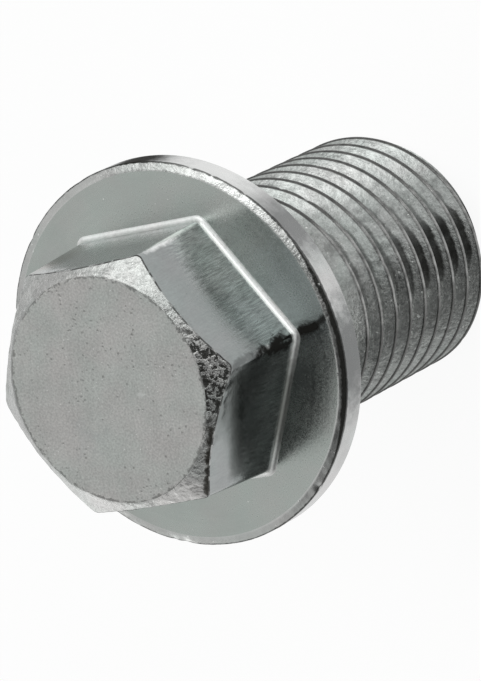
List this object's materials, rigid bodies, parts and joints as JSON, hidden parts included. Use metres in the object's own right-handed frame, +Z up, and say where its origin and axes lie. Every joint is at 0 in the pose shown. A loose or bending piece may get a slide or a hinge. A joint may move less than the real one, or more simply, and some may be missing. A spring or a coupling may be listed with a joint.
{
  "type": "oil drain plug",
  "caption": "Flanged hexagon drain plug with a plain neck and a fine metric thread, in zinc plated steel.",
  "frame": {"origin": "centre of the flat end face of the thread, on the plug's axis", "axes": "+Z up the plug's axis from the thread's end to the front of the head, +X through one corner of the hexagon"},
  "size_m": [0.0214, 0.0214, 0.028],
  "materials": {
    "zinc_plated_steel": "satin zinc plate, rough forged chamfer and rim"
  },
  "bodies": {
    "root": {"drain_plug": "zinc_plated_steel"}
  },
  "joints": []
}
